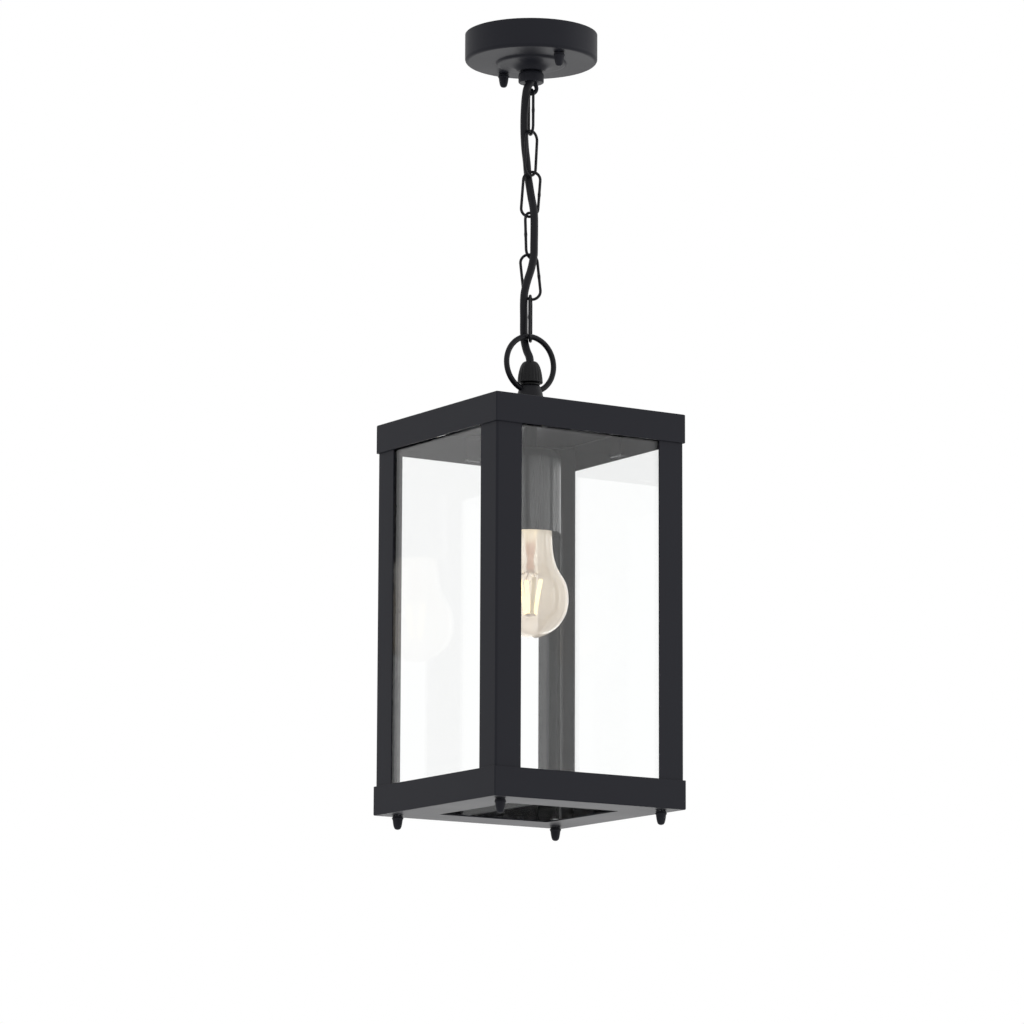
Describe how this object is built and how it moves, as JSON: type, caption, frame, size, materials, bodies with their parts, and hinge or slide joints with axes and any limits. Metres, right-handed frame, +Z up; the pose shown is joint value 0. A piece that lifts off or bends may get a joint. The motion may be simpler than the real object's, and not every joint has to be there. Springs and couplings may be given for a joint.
{
  "type": "hanging lantern",
  "caption": "Square glazed metal lantern with a screw-in bulb, hung by a ring and a link chain with a woven flex from a round ceiling canopy.",
  "frame": {"origin": "middle of the ceiling bracket's upper face, which lies on the ceiling", "axes": "+Z up, out of the ceiling face; the lantern's glazed sides face along X and Y, the front towards -Y"},
  "size_m": [0.17, 0.17, 0.613],
  "materials": {
    "black_coat": "matt blue-black powder coat",
    "black_wire": "satin black painted steel wire",
    "zinc_plate": "bright zinc plate",
    "black_plastic": "moulded matt black",
    "seal_rubber": "soft black rubber",
    "flex_jacket": "smooth black PVC jacket",
    "white_plastic": "moulded white",
    "pane_glass": "clear float glass",
    "bulb_glass": "clear glass with a faint amber tint",
    "porcelain": "glazed white porcelain",
    "brass_screw": "thin pressed brass",
    "filament": "yellow phosphor coat on thin sticks"
  },
  "bodies": {
    "canopy": {"canopy_cover": "black_coat", "ceiling_bracket": "zinc_plate", "canopy_stud_front": "zinc_plate", "canopy_stud_back": "zinc_plate", "canopy_cap_nut_front": "black_coat", "canopy_cap_nut_back": "black_coat", "canopy_loop": "black_coat", "canopy_loop_nut": "zinc_plate", "terminal_block": "white_plastic", "flex_1": "flex_jacket"},
    "link_6": {"chain_link_6": "black_wire", "flex_2": "flex_jacket"},
    "link_5": {"chain_link_5": "black_wire", "flex_3": "flex_jacket"},
    "link_4": {"chain_link_4": "black_wire", "flex_4": "flex_jacket"},
    "link_3": {"chain_link_3": "black_wire", "flex_5": "flex_jacket"},
    "link_2": {"chain_link_2": "black_wire", "flex_6": "flex_jacket"},
    "link_1": {"chain_link_1": "black_wire"},
    "lantern": {"hanging_ring": "black_wire", "gland_body": "black_plastic", "gland_seal": "seal_rubber", "gland_nut": "black_plastic", "threaded_tube": "zinc_plate", "threaded_tube_nut": "zinc_plate", "top_cap": "black_coat", "bottom_tray": "black_coat", "corner_post_front_left": "black_coat", "corner_post_front_right": "black_coat", "corner_post_back_right": "black_coat", "corner_post_back_left": "black_coat", "foot_screw_front_left": "zinc_plate", "foot_screw_front_right": "zinc_plate", "foot_screw_back_right": "zinc_plate", "foot_screw_back_left": "zinc_plate", "cap_nut_front_left": "black_coat", "cap_nut_front_right": "black_coat", "cap_nut_back_right": "black_coat", "cap_nut_back_left": "black_coat", "glass_pane_front": "pane_glass", "glass_pane_right": "pane_glass", "glass_pane_back": "pane_glass", "glass_pane_left": "pane_glass", "glass_clip_front": "zinc_plate", "glass_clip_right": "zinc_plate", "glass_clip_back": "zinc_plate", "glass_clip_left": "zinc_plate", "holder_sleeve": "black_coat", "holder_insert": "porcelain", "holder_nut": "zinc_plate", "holder_screw_shell": "brass_screw", "flex_7": "flex_jacket"},
    "bulb": {"bulb_cap": "brass_screw", "bulb_glass": "bulb_glass", "bulb_stem": "bulb_glass", "bulb_filament": "filament"}
  },
  "joints": [
    {"name": "chain_swing_6", "type": "hinge", "parent": "canopy", "child": "link_6", "pos_m": [0, 0, -0.0462], "axis": [0.95, -0.3123, 0], "range_deg": [-20, 20], "deforming": ["flex_1"]},
    {"name": "chain_swing_5", "type": "hinge", "parent": "link_6", "child": "link_5", "pos_m": [0, 0, -0.07845], "axis": [-0.3123, -0.95, 0], "range_deg": [-20, 20], "deforming": ["flex_2"]},
    {"name": "chain_swing_4", "type": "hinge", "parent": "link_5", "child": "link_4", "pos_m": [0, 0, -0.1109], "axis": [-0.9573, -0.289, 0], "range_deg": [-20, 20], "deforming": ["flex_3"]},
    {"name": "chain_swing_3", "type": "hinge", "parent": "link_4", "child": "link_3", "pos_m": [0, 0, -0.14335], "axis": [0.8368, -0.5476, 0], "range_deg": [-20, 20], "deforming": ["flex_4"]},
    {"name": "chain_swing_2", "type": "hinge", "parent": "link_3", "child": "link_2", "pos_m": [0, 0, -0.1758], "axis": [-0.9285, -0.3714, 0], "range_deg": [-20, 20], "deforming": ["flex_5"]},
    {"name": "chain_swing_1", "type": "hinge", "parent": "link_2", "child": "link_1", "pos_m": [0, 0, -0.20825], "axis": [0.8368, -0.5476, 0], "range_deg": [-20, 20], "deforming": ["flex_6"]},
    {"name": "lantern_swing", "type": "hinge", "parent": "link_1", "child": "lantern", "pos_m": [0, 0, -0.2407], "axis": [-0.6184, -0.7859, 0], "range_deg": [-20, 20], "deforming": ["flex_7"]},
    {"name": "bulb_screw", "type": "hinge", "parent": "lantern", "child": "bulb", "pos_m": [0, 0, -0.37], "axis": [0, 0, 1], "range_deg": [0, 900]}
  ]
}
